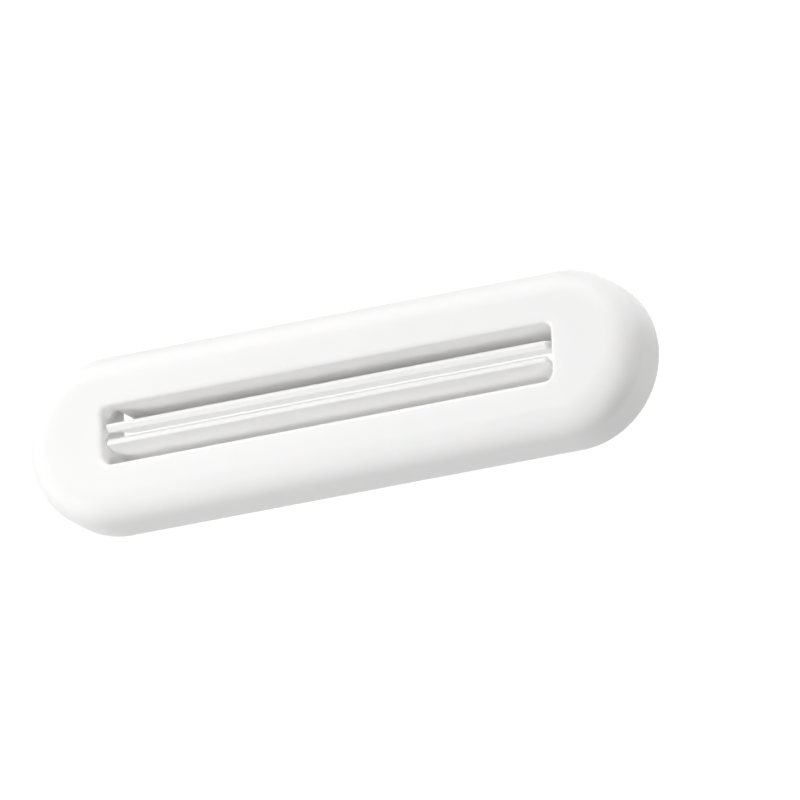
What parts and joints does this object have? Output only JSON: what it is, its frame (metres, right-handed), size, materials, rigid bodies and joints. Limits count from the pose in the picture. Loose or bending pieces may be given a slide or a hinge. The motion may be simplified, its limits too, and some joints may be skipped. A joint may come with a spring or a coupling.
{
  "type": "toothpaste tube squeezer",
  "caption": "Flat capsule-shaped squeezer with two springy lips in a long window that press the paste out of a tube slid between them.",
  "frame": {"origin": "middle of the flat rear face, which the squeezer lies on", "axes": "+X along the length, +Y across the width towards the upper lip, +Z out of the front face"},
  "size_m": [0.089, 0.023, 0.009],
  "materials": {
    "shell_plastic": "satin white",
    "cover_plastic": "satin white",
    "lip_plastic": "satin white"
  },
  "bodies": {
    "casing": {"front_shell": "shell_plastic", "rear_cover": "cover_plastic"},
    "upper_lip": {"upper_lip": "lip_plastic"},
    "lower_lip": {"lower_lip": "lip_plastic"}
  },
  "joints": [
    {"name": "upper_lip_bend", "type": "hinge", "parent": "casing", "child": "upper_lip", "pos_m": [0, 0.00282, 0.00075], "axis": [-1, 0, 0], "range_deg": [0, 3], "stiffness_Nm_per_rad": 2.4},
    {"name": "lower_lip_bend", "type": "hinge", "parent": "casing", "child": "lower_lip", "pos_m": [0, -0.00282, 0.00075], "axis": [1, 0, 0], "range_deg": [0, 3], "stiffness_Nm_per_rad": 2.4}
  ]
}
